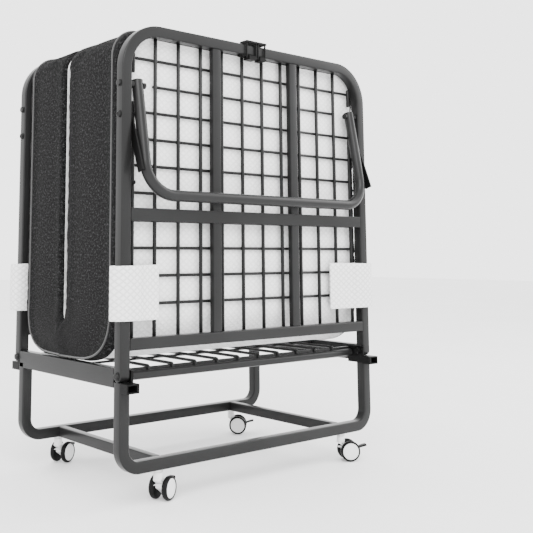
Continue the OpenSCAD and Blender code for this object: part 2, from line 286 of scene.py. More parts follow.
def smooth_curve(points, steps=6):
    """Catmull-Rom curve through 2D or 3D points."""
    pts = [Vector(p) for p in points]
    pts = [pts[0] * 2 - pts[1]] + pts + [pts[-1] * 2 - pts[-2]]
    out = []
    for i in range(1, len(pts) - 2):
        p0, p1, p2, p3 = pts[i - 1], pts[i], pts[i + 1], pts[i + 2]
        for k in range(steps):
            t = k / steps
            lean = (p2 - p0) * t
            bend = (p0 * 2 - p1 * 5 + p2 * 4 - p3) * (t * t)
            twist = (p1 * 3 - p0 - p2 * 3 + p3) * (t * t * t)
            out.append((p1 * 2 + lean + bend + twist) / 2)
    out.append(pts[-2])
    return out


# ---------------------------------------------------------------- materials

class Look:
    """A Principled material with short ways to add nodes."""

    def __init__(self, name, rough=0.5, metal=0.0, specular=0.5):
        self.material = bpy.data.materials.new(name)
        self.material.use_nodes = True
        self.tree = self.material.node_tree
        self.bsdf = self.tree.nodes["Principled BSDF"]
        self.bsdf.inputs["Roughness"].default_value = rough
        self.bsdf.inputs["Metallic"].default_value = metal
        self.bsdf.inputs["Specular IOR Level"].default_value = specular
        self.bump_height = None

    def node(self, kind, **values):
        made = self.tree.nodes.new(kind)
        for key, value in values.items():
            setattr(made, key, value)
        return made

    def link(self, a, b):
        self.tree.links.new(a, b)

    def coords(self, scale, source="Object", turn=0.0):
        place = self.node("ShaderNodeTexCoord")
        mapping = self.node("ShaderNodeMapping")
        mapping.inputs["Scale"].default_value = scale
        mapping.inputs["Rotation"].default_value = (0.0, 0.0, turn)
        self.link(place.outputs[source], mapping.inputs["Vector"])
        return mapping.outputs["Vector"]

    def noise(self, vector, scale, detail=3.0, rough=0.55):
        made = self.node("ShaderNodeTexNoise")
        made.inputs["Scale"].default_value = scale
        made.inputs["Detail"].default_value = detail
        made.inputs["Roughness"].default_value = rough
        self.link(vector, made.inputs["Vector"])
        return made.outputs["Fac"]

    def wave(self, vector, scale, distortion=0.0, direction="X"):
        made = self.node("ShaderNodeTexWave")
        made.bands_direction = direction
        made.inputs["Scale"].default_value = scale
        made.inputs["Distortion"].default_value = distortion
        made.inputs["Detail"].default_value = 1.0
        self.link(vector, made.inputs["Vector"])
        return made.outputs["Fac"]

    def math(self, kind, a, b):
        made = self.node("ShaderNodeMath", operation=kind)
        for socket, value in zip(made.inputs, (a, b)):
            if isinstance(value, (int, float)):
                socket.default_value = value
            else:
                self.link(value, socket)
        return made.outputs[0]

    def ramp(self, value, stops):
        made = self.node("ShaderNodeValToRGB")
        while len(made.color_ramp.elements) < len(stops):
            made.color_ramp.elements.new(0.5)
        for element, (place, colour) in zip(made.color_ramp.elements, stops):
            element.position = place
            element.color = (*colour, 1.0)
        self.link(value, made.inputs["Fac"])
        return made.outputs["Color"]

    def span(self, value, low, high, target="Roughness"):
        made = self.node("ShaderNodeMapRange")
        made.inputs["To Min"].default_value = low
        made.inputs["To Max"].default_value = high
        self.link(value, made.inputs["Value"])
        self.link(made.outputs["Result"], self.bsdf.inputs[target])

    def colour(self, socket):
        self.link(socket, self.bsdf.inputs["Base Color"])

    def bump(self, height, strength, distance):
        made = self.node("ShaderNodeBump")
        made.inputs["Strength"].default_value = strength
        made.inputs["Distance"].default_value = distance
        self.link(height, made.inputs["Height"])
        if self.bump_height is not None:
            self.link(self.bump_height, made.inputs["Normal"])
        self.bump_height = made.outputs["Normal"]
        self.link(self.bump_height, self.bsdf.inputs["Normal"])


def grey(value, tint=0.0):
    return (value * (1 - tint), value, value * (1 + tint))


def paint(name, dark, light, rough, shine=0.15):
    """Powder-coated steel: fine orange peel, slight cloudiness, uneven gloss."""
    look = Look(name, rough, 0.0, shine)
    place = look.coords((1.0, 1.0, 1.0))
    cloud = look.noise(place, 6.0, 2.0)
    look.colour(look.ramp(cloud, [(0.3, grey(dark)), (0.7, grey(light, 0.01))]))
    look.span(look.noise(place, 320.0, 3.0), rough - 0.02, rough + 0.03)
    look.bump(look.noise(place, 900.0, 2.0), 0.05, 0.0003)
    look.bump(look.noise(place, 2600.0, 1.0), 0.03, 0.0002)
    return look.material


def plastic(name, dark, light, rough, grain=1800.0, shine=0.25):
    """Moulded plastic or rubber with a fine grain and uneven gloss."""
    look = Look(name, rough, 0.0, shine)
    place = look.coords((1.0, 1.0, 1.0))
    look.colour(look.ramp(look.noise(place, 30.0, 3.0), [(0.3, grey(dark)), (0.7, grey(light))]))
    look.span(look.noise(place, 160.0, 3.0), rough - 0.05, rough + 0.08)
    look.bump(look.noise(place, grain, 2.0), 0.1, 0.0003)
    return look.material


def metal(name, dark, light, rough):
    """Bare plated metal, slightly clouded and scuffed."""
    look = Look(name, rough, 1.0, 0.5)
    place = look.coords((1.0, 1.0, 1.0))
    look.colour(look.ramp(look.noise(place, 40.0, 4.0), [(0.3, grey(dark)), (0.7, grey(light))]))
    look.span(look.noise(place, 300.0, 3.0), rough - 0.08, rough + 0.12)
    look.bump(look.noise(place, 1500.0, 2.0), 0.08, 0.0002)
    return look.material


def heather_cloth(name):
    """Charcoal knit of the mattress border: mixed dark and pale yarns with a soft nap."""
    look = Look(name, 0.95, 0.0, 0.06)
    look.bsdf.inputs["Sheen Weight"].default_value = 0.02
    look.bsdf.inputs["Sheen Roughness"].default_value = 0.55
    place = look.coords((1.0, 1.0, 1.0), "UV")
    yarn = look.noise(look.coords((1.0, 0.55, 1.0), "UV"), 440.0, 4.0, 0.75)
    blotch = look.noise(place, 170.0, 3.0, 0.65)
    mixed = look.math("ADD", look.math("MULTIPLY", yarn, 0.6), look.math("MULTIPLY", blotch, 0.4))
    stops = [(0.40, (0.0012, 0.0012, 0.0013)), (0.52, (0.0055, 0.0055, 0.0056)),
             (0.64, (0.046, 0.046, 0.047))]
    look.colour(look.ramp(mixed, stops))
    rows = look.wave(place, 160.0, 0.6, "Y")
    stitches = look.wave(place, 190.0, 0.6, "X")
    look.bump(look.math("MULTIPLY", rows, stitches), 0.5, 0.0008)
    look.bump(look.noise(place, 700.0, 3.0, 0.7), 0.5, 0.0008)
    return look.material


def white_quilt(name, cell, groove_shade=0.86, base=0.78):
    """Pale knitted ticking with a fine diagonal emboss, its grooves painted darker and its ridges lighter
    as painted shade.
    """
    look = Look(name, 0.85, 0.0, 0.3)
    look.bsdf.inputs["Sheen Weight"].default_value = 0.15
    place = look.coords((1.0, 1.0, 1.0), "UV")
    pitch = math.pi / (10.0 * cell)
    one = look.wave(look.coords((1.0, 1.0, 1.0), "UV", math.radians(52)), pitch, 0.3)
    two = look.wave(look.coords((1.0, 1.0, 1.0), "UV", math.radians(-52)), pitch, 0.3)
    grooves = look.math("MINIMUM", look.math("POWER", one, 0.45), look.math("POWER", two, 0.45))
    # painted shade in the emboss grooves: their colour is darkened and the ridges lightened a little, mixed
    # with random tone
    shade = look.math("ADD", look.math("MULTIPLY", grooves, 0.75),
                      look.math("MULTIPLY", look.noise(place, 160.0, 3.0), 0.25))
    low = grey(base * groove_shade)
    high = grey(base * 1.04)
    look.colour(look.ramp(shade, [(0.1, low), (0.75, high)]))
    look.bump(grooves, 0.55, 0.0014)
    look.bump(look.noise(place, 1500.0, 2.0), 0.3, 0.0004)
    return look.material


def tape(name):
    """Woven grey edging tape."""
    look = Look(name, 0.6, 0.0, 0.4)
    look.bsdf.inputs["Sheen Weight"].default_value = 0.2
    place = look.coords((1.0, 1.0, 1.0), "UV")
    weave = look.wave(place, 260.0, 0.3, "X")
    look.colour(look.ramp(look.math("ADD", look.math("MULTIPLY", weave, 0.4),
                                    look.math("MULTIPLY", look.noise(place, 500.0, 3.0), 0.6)),
                          [(0.25, grey(0.010)), (0.7, grey(0.045))]))
    look.bump(weave, 0.4, 0.0005)
    return look.material


QUILT_CELL = 0.011
FRAME_PAINT = paint("graphite_paint", 0.010, 0.014, 0.28)
LEG_PAINT = paint("leg_paint", 0.011, 0.016, 0.24)
WIRE_PAINT = paint("wire_paint", 0.006, 0.009, 0.30, 0.16)
BLACK_STEEL = paint("black_steel_paint", 0.0025, 0.004, 0.42, 0.08)
BOLT_STEEL = paint("black_bolts", 0.0025, 0.005, 0.34, 0.22)
ZINC = metal("zinc_stems", 0.45, 0.62, 0.28)
RUBBER = plastic("bumper_rubber_look", 0.003, 0.005, 0.65, 900.0, 0.10)
TYRE_BLACK = plastic("castor_black", 0.002, 0.004, 0.40, 1800.0, 0.10)
HUB_WHITE = plastic("castor_white", 0.66, 0.74, 0.32)
PEDAL_BLACK = plastic("pedal_black", 0.003, 0.005, 0.42, 1800.0, 0.12)
HEATHER = heather_cloth("charcoal_heather")
WHITE_TICKING = white_quilt("white_ticking", QUILT_CELL)
# the straps get deeper painted shade in their quilting grooves
STRAP_CLOTH = white_quilt("strap_quilting", QUILT_CELL, 0.72)
EDGE_TAPE = tape("grey_edge_tape")


# ---------------------------------------------------------------- steel frame

UP_ROD = 0.0044
ROW_ROD = 0.0035
DECK_ROD = 0.0036
UP_ROD_Y = 0.2114
ROW_ROD_Y = 0.2071
WELD_SINK = 0.001
OUTER_ROD_X = 5.42 * ROD_GAP
OUTER_ROD_TOP = 0.958
LEG_OPENING = (0.848, 0.912)
WIRE_ROWS = 10
SHORT_ROW = 8
DECK_ROD_Y = 0.1915
DECK_HOOK = 0.0085
DECK_BAR_Y = 0.186
DECK_BAR_Z = 0.2700
DECK_CROSS_Y = 0.048
DECK_CROSS_ROD = 0.0028
TUBE_SECTION = square_profile(TUBE, TUBE, TUBE_EDGE, 5)


def put(shape, name, material, body, nodes=()):
    obj = shape.build(name, [material])
    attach(obj, body)
    if nodes:
        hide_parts(*nodes)
    return obj


def half_arch(side, name):
    """The folding half's bent square tube, with round pivot ends."""
    y = side * PIVOT_Y
    x = HALF_W - TUBE / 2
    top = TOP_Z - TUBE / 2
    corners = [(-x, y, PIVOT_Z), (-x, y, top), (x, y, top), (x, y, PIVOT_Z)]
    path = bent_path(corners, CORNER_R - TUBE / 2, 22)
    drops = (0.0124, 0.0115, 0.0095, 0.0065, 0.0035)
    ends = [(d, math.sqrt(max(1 - (d / (TUBE / 2)) ** 2, 0.0004))) for d in drops]
    left = [Vector((-x, y, PIVOT_Z - d)) for d, _ in ends]
    right = [Vector((x, y, PIVOT_Z - d)) for d, _ in reversed(ends)]
    scales = [(1, s) for _, s in ends] + [(1, 1)] * len(path) + [(1, s) for _, s in reversed(ends)]
    shape = Shape()
    sweep(shape, left + path + right, TUBE_SECTION, DEPTHWISE, scales)
    put(shape, name + "_arch", FRAME_PAINT, name + "_half", [name + "_frame"])


def half_low_bar(side, name):
    shape = Shape()
    y = side * PIVOT_Y
    z = LOW_Z + TUBE / 2
    bar(shape, (-IN_X, y, z), (IN_X, y, z), TUBE, TUBE, TUBE_EDGE, DEPTHWISE)
    put(shape, name + "_low_bar", FRAME_PAINT, name + "_half", [name + "_crossbar_low"])


def half_flat_bar(side, name):
    shape = Shape()
    y = side * (OUT_Y - FLAT_THICK / 2)
    z = MID_Z + MID_H / 2
    bar(shape, (-IN_X, y, z), (IN_X, y, z), MID_H, FLAT_THICK, 0.0009, DEPTHWISE)
    put(shape, name + "_flat_bar", FRAME_PAINT, name + "_half", [name + "_crossbar_mid"])


def half_posts(side, name):
    """The two posts behind the wires, between the low crossbar and the top of the arch."""
    y = side * (OUT_Y - FLAT_THICK - STILE_DEPTH / 2)
    for s, hand in HANDS:
        shape = Shape()
        x = s * STILE_X
        bar(shape, (x, y, LOW_Z + TUBE), (x, y, TOP_Z - TUBE), TUBE, STILE_DEPTH, 0.0025, DEPTHWISE)
        put(shape, name + "_post_" + hand, FRAME_PAINT, name + "_half",
            [name + "_stile_" + hand])


def half_wires(side, name):
    """Welded mesh deck: upright and cross rods that sink into each other where they cross.

    The outer upright rods leave an opening for the leg's pivots, and one cross rod stops short of them.
    """
    shape = Shape()
    y_up = side * UP_ROD_Y
    y_row = side * ROW_ROD_Y
    low = LOW_Z + TUBE - WELD_SINK
    high = TOP_Z - TUBE + WELD_SINK
    for k in range(5):
        for s in (-1, 1):
            x = s * (k + 0.5) * ROD_GAP
            rod(shape, (x, y_up, low), (x, y_up, high), UP_ROD)
    for s in (-1, 1):
        x = s * OUTER_ROD_X
        rod(shape, (x, y_up, low), (x, y_up, LEG_OPENING[0]), UP_ROD)
        rod(shape, (x, y_up, LEG_OPENING[1]), (x, y_up, OUTER_ROD_TOP), UP_ROD)
    for k in range(WIRE_ROWS):
        reach = (4.5 * ROD_GAP if k == SHORT_ROW else OUTER_ROD_X) + UP_ROD
        z = ROW_Z + k * ROW_GAP
        rod(shape, (-reach, y_row, z), (reach, y_row, z), ROW_ROD)
    put(shape, name + "_mesh_deck", WIRE_PAINT, name + "_half", [name + "_wire_grid"])


def base_trough(y, name, node):
    """One U of square tube that stands on two castors."""
    x = HALF_W - TUBE / 2
    z = RAIL_Z + TUBE / 2
    corners = [(-x, y, SEAT_Z), (-x, y, z), (x, y, z), (x, y, SEAT_Z)]
    shape = Shape()
    sweep(shape, bent_path(corners, BASE_R - TUBE / 2, 16), TUBE_SECTION, DEPTHWISE)
    put(shape, name, FRAME_PAINT, "base", [node])


def side_bars():
    """The two low bars that join the troughs."""
    width = SIDE_BAR_HIGH - SIDE_BAR_LOW
    y0 = FRONT_LEG_Y + TUBE / 2
    y1 = BACK_LEG_Y - TUBE / 2
    z = RAIL_Z + TUBE / 2
    for s, hand in HANDS:
        shape = Shape()
        x = s * (SIDE_BAR_LOW + width / 2)
        bar(shape, (x, y0, z), (x, y1, z), width, TUBE, 0.0028, UPWARD)
        put(shape, "base_side_bar_" + hand, FRAME_PAINT, "base", ["base_bar_" + hand])


def deck_rails():
    """The two side rails of the middle deck."""
    height = DECK_Z - DECK_RAIL_LOW
    y = PIVOT_Y - TUBE / 2 - 0.0005
    z = DECK_RAIL_LOW + height / 2
    for s, hand in HANDS:
        shape = Shape()
        x = s * (HALF_W - TUBE / 2)
        bar(shape, (x, -y, z), (x, y, z), TUBE, height, 0.0030, UPWARD)
        put(shape, "deck_side_rail_" + hand, FRAME_PAINT, "base", ["center_rail_" + hand])


def deck_wires():
    """Middle deck: rods hooked over two bars, with two thin cross rods under them."""
    shape = Shape()
    z = DECK_Z - DECK_ROD
    hook_z = z - DECK_HOOK
    for k in range(5):
        for s in (-1, 1):
            x = s * (k + 0.5) * ROD_GAP
            corners = [(x, -DECK_ROD_Y, hook_z), (x, -DECK_ROD_Y, z),
                       (x, DECK_ROD_Y, z), (x, DECK_ROD_Y, hook_z)]
            sweep(shape, bent_path(corners, 0.0045, 6), round_profile(DECK_ROD, 12), (1, 0, 0))
    bar_x = IN_X - 0.006
    for s in (-1, 1):
        y = s * DECK_CROSS_Y
        under = z - 0.0045
        rod(shape, (-IN_X, y, under), (IN_X, y, under), DECK_CROSS_ROD, 12)
        y = s * DECK_BAR_Y
        bar(shape, (-bar_x, y, DECK_BAR_Z), (bar_x, y, DECK_BAR_Z), 0.008, 0.0100, 0.001, UPWARD)
    put(shape, "middle_deck_mesh", WIRE_PAINT, "base", ["center_wires"])


def dress_nodes(material, *names):
    """Gives CAD nodes that stay visible a finished material."""
    for name in names:
        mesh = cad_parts[name].data
        for index in range(len(mesh.materials)):
            mesh.materials[index] = material
        if not mesh.materials:
            mesh.materials.append(material)


for side, name in HALVES:
    half_arch(side, name)
    half_low_bar(side, name)
    half_flat_bar(side, name)
    half_posts(side, name)
    half_wires(side, name)
base_trough(FRONT_LEG_Y, "base_front_trough", "base_frame_front")
base_trough(BACK_LEG_Y, "base_back_trough", "base_frame_back")
side_bars()
deck_rails()
deck_wires()

dress_nodes(LEG_PAINT, "front_leg", "back_leg")
dress_nodes(FRAME_PAINT, "center_tube_front", "center_tube_back")
dress_nodes(BLACK_STEEL, "hinge_bracket_fl", "hinge_bracket_fr", "hinge_bracket_bl", "hinge_bracket_br",
            "front_leg_stop_left", "front_leg_stop_right", "back_leg_stop_left", "back_leg_stop_right",
            "latch_bracket", "latch_hook", "latch_loop")
dress_nodes(BOLT_STEEL, "hinge_bolts", "front_bolts", "back_bolts")
dress_nodes(ZINC, "caster_stems")
dress_nodes(RUBBER, "front_bumpers", "back_bumpers")


# ---------------------------------------------------------------- mattress

COVER = 0.001  # the cover stands this far proud of its CAD solid
MATT_X = side_of("mattress_front", HIGH, X)
MATT_TOP = round(side_of("mattress_front", HIGH, Z) + COVER, 4)
MATT_OUT = round(side_of("mattress_back", HIGH, Y) + COVER, 4)
GAP_FRONT = side_of("mattress_front", HIGH, Y)
GAP_BACK = side_of("mattress_back", LOW, Y)
GAP_HALF = round((GAP_BACK - GAP_FRONT) / 2, 4)
FOLD_Y = round((GAP_FRONT + GAP_BACK) / 2, 4)
FOLD_Z = 0.362
MATT_R = 0.062
EDGE_OUT = 0.015
SEAM_DEPTH = 0.025
EDGE_IN = 0.010
SIDE_SWELL = 0.0045
BEND_SWELL = 0.012
PILLOW = 0.0015
STRAIGHT_Z = 0.410
FRONT_BEND = [(-MATT_OUT, STRAIGHT_Z), (-0.201, 0.375), (-0.191, 0.342), (-0.171, 0.315),
              (-0.141, 0.2955), (-0.100, 0.2845), (-0.050, 0.2820), (FOLD_Y, 0.2818)]
BACK_BEND = [(MATT_OUT, STRAIGHT_Z), (0.2025, 0.372), (0.195, 0.340), (0.179, 0.314),
             (0.155, 0.2955), (0.119, 0.2845), (0.075, 0.2820), (FOLD_Y, 0.2818)]
PIPING_R = 0.0025
SETTLE_FRAMES = 18
SETTLE_MARGIN = 0.05
MAX_FACE_MOVE = 0.0030
MAX_BORDER_MOVE = 0.0045


def spread(low, high, count):
    return [low + (high - low) * k / (count - 1) for k in range(count)]


def inner_y(side):
    """The face of one half that looks into the gap."""
    return FOLD_Y + side * GAP_HALF


def slab_thickness(side):
    return abs(side * MATT_OUT - inner_y(side))


def bend_curves(side):
    """Outer and inner (y, z) curves round the fold, from the straight part to its middle."""
    outer = smooth_curve([(*p, 0.0) for p in (FRONT_BEND if side < 0 else BACK_BEND)], 5)
    inner = []
    for k in range(len(outer)):
        t = k / (len(outer) - 1)
        z = outer[0].y + (FOLD_Z - outer[0].y) * t
        close = math.sqrt(max(1 - max((t - 0.5) / 0.5, 0.0) ** 2, 0.0))
        inner.append(Vector((FOLD_Y + side * GAP_HALF * close, z, 0.0)))
    inner[-1] = Vector((FOLD_Y, FOLD_Z, 0.0))
    return outer, inner


def slab_depths(thick):
    """Steps through the thickness, close together round both rolled edges."""
    roll = [0, 0.06, 0.24, 0.55, 1.0]
    middle = spread(SEAM_DEPTH, thick - EDGE_IN, 12)[:-1]
    return [EDGE_OUT * r for r in roll] + middle + [thick - EDGE_IN * r for r in reversed(roll)]


def slab_inset(depth, thick):
    """How far the border stands in from the full width at one depth."""
    swell = -SIDE_SWELL * math.sin(math.pi * depth / thick)
    for near, edge in ((depth, EDGE_OUT), (thick - depth, EDGE_IN)):
        if near < edge:
            return edge - math.sqrt(max(edge ** 2 - (edge - near) ** 2, 0.0)) + swell
    return swell


def slab_rows(bend_count):
    """Top corner steps, then the straight sides, then the steps round the fold."""
    rows = [("corner", math.radians(90 - 90 * k / 12)) for k in range(12)]
    rows += [("side", z) for z in spread(MATT_TOP - MATT_R, STRAIGHT_Z, 44)]
    return rows + [("fold", k) for k in range(1, bend_count)]


def slab_place(side, row, depth, curves):
    """Half width, y and z of the border at one row and depth."""
    kind, value = row
    thick = slab_thickness(side)
    cut = slab_inset(depth, thick)
    part = depth / thick
    if kind == "fold":
        outer, inner = curves
        turn = value / (len(outer) - 1)
        turn = turn * turn * (3 - 2 * turn)
        here = outer[value].lerp(inner[value], part)
        return MATT_X - cut + BEND_SWELL * turn * math.sin(math.pi * part), here.x, here.y
    half = MATT_X - cut
    z = value
    if kind == "corner":
        half = MATT_X - MATT_R + (MATT_R - cut) * math.cos(value)
        z = MATT_TOP - MATT_R + (MATT_R - cut) * math.sin(value)
    y_out = side * MATT_OUT
    return half, y_out + (inner_y(side) - y_out) * part, z


def slab_columns(half):
    """Places across the width, closer together near both borders."""
    near = [0.0, 0.005, 0.011, 0.019]
    left = [-half + d for d in near]
    return left + spread(-half + 0.030, half - 0.030, 60) + [-x for x in reversed(left)]


def pillow(x, z):
    """Soft swell of the cover between the deck's rods."""
    across = math.cos(math.pi * x / ROD_GAP) ** 2
    down = math.sin(math.pi * (z - ROW_Z) / ROW_GAP) ** 2
    return PILLOW * (0.35 * across + 0.65 * across * down)


class Slab:
    """One half of the mattress as a closed grid: rows down it, layers through it, columns across it."""

    def __init__(self, side):
        self.side = side
        self.curves = bend_curves(side)
        self.depths = slab_depths(slab_thickness(side))
        self.rows = slab_rows(len(self.curves[0]))
        self.last = (len(self.rows) - 1, len(self.depths) - 1, len(slab_columns(0.3)) - 1)
        self.index = {}
        self.verts = []
        self.faces = []
        self.slots = []
        self.place_verts()
        self.skin()

    def place_verts(self):
        rows, layers, cols = self.last
        for i, row in enumerate(self.rows):
            for j, depth in enumerate(self.depths):
                half, y, z = slab_place(self.side, row, depth, self.curves)
                xs = slab_columns(half)
                shell = j in (0, layers) or i in (0, rows)
                for k in range(cols + 1) if shell else (0, cols):
                    push = 0.0
                    if j in (0, layers) and 0 < i < rows:
                        fade = min(1.0, (half - abs(xs[k])) / 0.06) * min(1.0, i / 8, (rows - i) / 12)
                        push = self.side * (1 if j == 0 else -1) * fade * pillow(xs[k], z)
                    self.index[(i, j, k)] = len(self.verts)
                    self.verts.append(Vector((xs[k], y + push, z)))

    def quad(self, slot, *keys):
        face = tuple(self.index[key] for key in keys)
        self.faces.append(face if self.side < 0 else tuple(reversed(face)))
        self.slots.append(slot)

    def skin(self):
        rows, layers, cols = self.last
        for i in range(rows):
            white = 1 if i > 1 else 0
            for k in range(cols):
                self.quad(white, (i, 0, k), (i, 0, k + 1), (i + 1, 0, k + 1), (i + 1, 0, k))
                self.quad(white, (i, layers, k), (i + 1, layers, k),
                          (i + 1, layers, k + 1), (i, layers, k + 1))
            for j in range(layers):
                self.quad(0, (i, j, 0), (i + 1, j, 0), (i + 1, j + 1, 0), (i, j + 1, 0))
                self.quad(0, (i, j, cols), (i, j + 1, cols), (i + 1, j + 1, cols), (i + 1, j, cols))
        for j in range(layers):
            for k in range(cols):
                self.quad(0, (0, j, k), (0, j + 1, k), (0, j + 1, k + 1), (0, j, k + 1))
                self.quad(0, (rows, j, k), (rows, j, k + 1), (rows, j + 1, k + 1), (rows, j + 1, k))

    def unwrap(self, obj):
        """Lays the faces out in metres: width against length, or depth along the borders."""
        run = 0.0
        spot = {}
        before = None
        for i, row in enumerate(self.rows):
            here = self.verts[self.index[(i, 0, 0)]]
            run += (here - before).length if before else 0.0
            before = here
            for key in ((i, j, k) for j in range(self.last[1] + 1) for k in range(self.last[2] + 1)):
                if key in self.index:
                    v = self.index[key]
                    spot[v] = (self.verts[v].x, run, self.depths[key[1]])
        uv = obj.data.uv_layers.new(name="UVMap")
        for poly in obj.data.polygons:
            spans = [max(c) - min(c) for c in zip(*(spot[v] for v in poly.vertices))]
            first, second = (0, 1) if spans[2] < 1e-6 else ((2, 0) if spans[1] < 1e-6 else (2, 1))
            for loop in poly.loop_indices:
                here = spot[obj.data.loops[loop].vertex_index]
                uv.data[loop].uv = (here[first], here[second])

    def seam(self):
        """Path of the piping, up one border, over the top and down the other."""
        side = []
        for kind, value in self.rows:
            low = value / self.last[0] * 3 if kind == "fold" else 0.0
            depth = SEAM_DEPTH + (EDGE_OUT - SEAM_DEPTH) * min(low, 1.0)
            half, y, z = slab_place(self.side, (kind, value), depth, self.curves)
            side.append((half, y, z))
        half, y, z = side[0]
        over = [Vector((x, y, z)) for x in slab_columns(half)[1:-1]]
        left = [Vector((-half, y, z)) for half, y, z in reversed(side)]
        return left + over + [Vector(p) for p in side]

    def pinned(self):
        """Vertices held by the piping, the rolled inner edges and the middle of the fold."""
        rows, layers, cols = self.last
        held = []
        for (i, j, k), v in self.index.items():
            border = k in (0, cols) or i == 0
            if i >= rows - 1 or (border and j in (0, 4, 5, layers - 4, layers)):
                held.append(v)
        return held


def running_lengths(path):
    """Distance along a path at each of its points."""
    lengths = [0.0]
    for a, b in zip(path, path[1:]):
        lengths.append(lengths[-1] + (b - a).length)
    return lengths


def piping(path, name):
    """Piping that follows the mattress seam."""
    shape = Shape()
    profile = [(a, b * 0.9) for a, b in round_profile(PIPING_R, 10)]
    sweep(shape, path, profile, DEPTHWISE)
    obj = shape.build(name, [EDGE_TAPE], 60.0)
    lengths = running_lengths(path)
    uv = obj.data.uv_layers.new(name="UVMap")
    for loop in obj.data.loops:
        ring, spoke = divmod(loop.vertex_index, len(profile))
        uv.data[loop.index].uv = (lengths[ring], spoke * PIPING_R)
    return obj


def settle(obj, held):
    """Lets air pressure fill the cover while its seams are held, then keeps the shape it takes."""
    before = [v.co.copy() for v in obj.data.vertices]
    group = obj.vertex_groups.new(name="held")
    group.add(held, 1.0, "ADD")
    cloth = obj.modifiers.new("fill", "CLOTH")
    cloth.settings.quality = 5
    cloth.settings.mass = 0.25
    cloth.settings.tension_stiffness = 12.0
    cloth.settings.compression_stiffness = 12.0
    cloth.settings.shear_stiffness = 4.0
    cloth.settings.bending_stiffness = 0.4
    cloth.settings.shrink_min = -0.012
    cloth.settings.use_pressure = True
    cloth.settings.uniform_pressure_force = 4.0
    cloth.settings.vertex_group_mass = "held"
    cloth.settings.effector_weights.gravity = 0.0
    scene = bpy.context.scene
    for step in range(1, SETTLE_FRAMES + 1):
        scene.frame_set(step)
    shown = obj.evaluated_get(bpy.context.evaluated_depsgraph_get())
    after = [v.co.copy() for v in shown.data.vertices]
    obj.modifiers.remove(cloth)
    obj.vertex_groups.remove(group)
    scene.frame_set(1)
    for vertex, start, end in zip(obj.data.vertices, before, after):
        move = end - start
        reach = MAX_FACE_MOVE if abs(start.x) < MATT_X - SETTLE_MARGIN else MAX_BORDER_MOVE
        if move.length > reach:
            move = move * (reach / move.length)
        vertex.co = start + move
    obj.data.update()


for side, name in HALVES:
    slab = Slab(side)
    shape = Shape()
    shape.add(slab.verts, slab.faces)
    shape.slots = slab.slots
    pad = shape.build("mattress_%s_pad" % name, [HEATHER, WHITE_TICKING], 60.0)
    slab.unwrap(pad)
    settle(pad, slab.pinned())
    trim = piping(slab.seam(), "mattress_%s_piping" % name)
    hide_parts(*(["mattress_front", "mattress_fold"] if side < 0 else ["mattress_back"]))
    for piece in (pad, trim):
        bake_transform(piece)


# ---------------------------------------------------------------- straps

STRAP_LOW = side_of("front_strap_left", LOW, Z)
STRAP_HIGH = side_of("front_strap_left", HIGH, Z)
STRAP_MID = (STRAP_LOW + STRAP_HIGH) / 2
STRAP_HALF = round((STRAP_HIGH - STRAP_LOW) / 2, 4)
STRAP_THICK = 0.0030
STRAP_SAG = 0.0018
HEM = 0.007
RIM = 0.0015
PUFF = 0.0007
HEM_FOLD = 0.0004
DIAMOND = 1.414


def strap_line(inner_end, bulge):
    """Plan of the band from its end on the outer face, round the tube, to its end on the inner face."""
    out, back = bulge
    line = [(inner_end, -0.2185), (0.330, -0.2265), (0.352, -0.2350), (0.385, -0.2375 - back * 0.6),
            (0.401 + out * 0.5, -0.2340 - back), (0.4075 + out, -0.2230 - back * 0.4),
            (0.4060 + out * 0.6, -0.2125), (0.397, -0.2055), (0.381, -0.2052), (0.366, -0.2052)]
    return smooth_curve([(*p, 0.0) for p in line], 8)


def strap_depth(run, z):
    """Half thickness of the band: a thin rim, a turned hem, then quilted diamonds."""
    a = (run + (z - STRAP_LOW)) / QUILT_CELL
    b = (run - (z - STRAP_LOW)) / QUILT_CELL
    puff = (abs(math.sin(math.pi * a / DIAMOND)) * abs(math.sin(math.pi * b / DIAMOND))) ** 0.5
    rim = min(z - STRAP_LOW, STRAP_HIGH - z)
    relief = PUFF * puff if rim > HEM else HEM_FOLD
    return STRAP_THICK / 2 * (1.0 if rim > RIM else 0.35) + relief


def strap_drop(along, z):
    """How far the edges draw in towards the middle height, most at the middle of the band."""
    sag = STRAP_SAG * math.sin(math.pi * along) * (1 if z < STRAP_MID else -1)
    return sag * (abs(z - STRAP_MID) / STRAP_HALF) ** 2


def band_faces(deep, wide):
    """Faces of a closed band of two layers, each a grid of deep by wide points."""
    other = wide * deep
    faces = []
    for base in (0, other):
        for i in range(deep - 1):
            for k in range(wide - 1):
                a = base + i * wide + k
                face = (a, a + wide, a + wide + 1, a + 1)
                faces.append(face if base == 0 else tuple(reversed(face)))
    for i in range(deep - 1):
        a = i * wide
        b = a + wide
        faces.append((b, a, a + other, b + other))
        a += wide - 1
        b += wide - 1
        faces.append((a, b, b + other, a + other))
    for k in range(wide - 1):
        faces.append((k, k + 1, k + 1 + other, k + other))
        a = (deep - 1) * wide + k
        faces.append((a + 1, a, a + other, a + 1 + other))
    return faces


